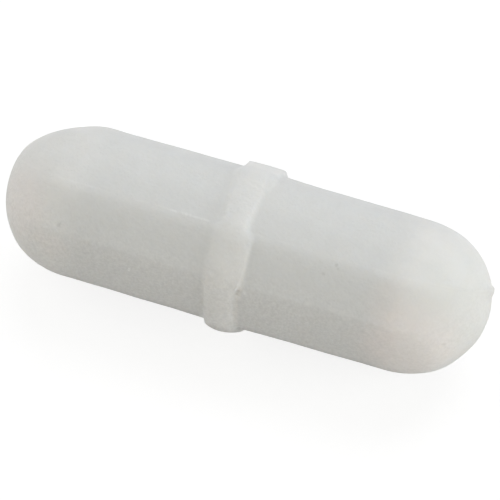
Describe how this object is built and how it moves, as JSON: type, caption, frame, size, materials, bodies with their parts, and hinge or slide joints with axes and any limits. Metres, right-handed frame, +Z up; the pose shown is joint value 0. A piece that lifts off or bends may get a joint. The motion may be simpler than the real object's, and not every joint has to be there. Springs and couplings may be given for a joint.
{
  "type": "magnetic stir bar",
  "caption": "Octagonal bar with rounded ends and a raised pivot ring, its white fluoropolymer jacket moulded over a hidden magnet, for stirring liquid on a magnetic stirrer.",
  "frame": {"origin": "under the centre of the bar, on the surface that its ring rests on", "axes": "+X along the bar towards the end with the flash nub, +Z up through a flat of the ring"},
  "size_m": [0.0254, 0.008, 0.0081],
  "materials": {
    "ptfe": "waxy, slightly translucent white, as moulded",
    "magnet_alloy": "cast and ground alloy, uncoated"
  },
  "bodies": {
    "root": {"jacket": "ptfe", "magnet": "magnet_alloy"}
  },
  "joints": []
}
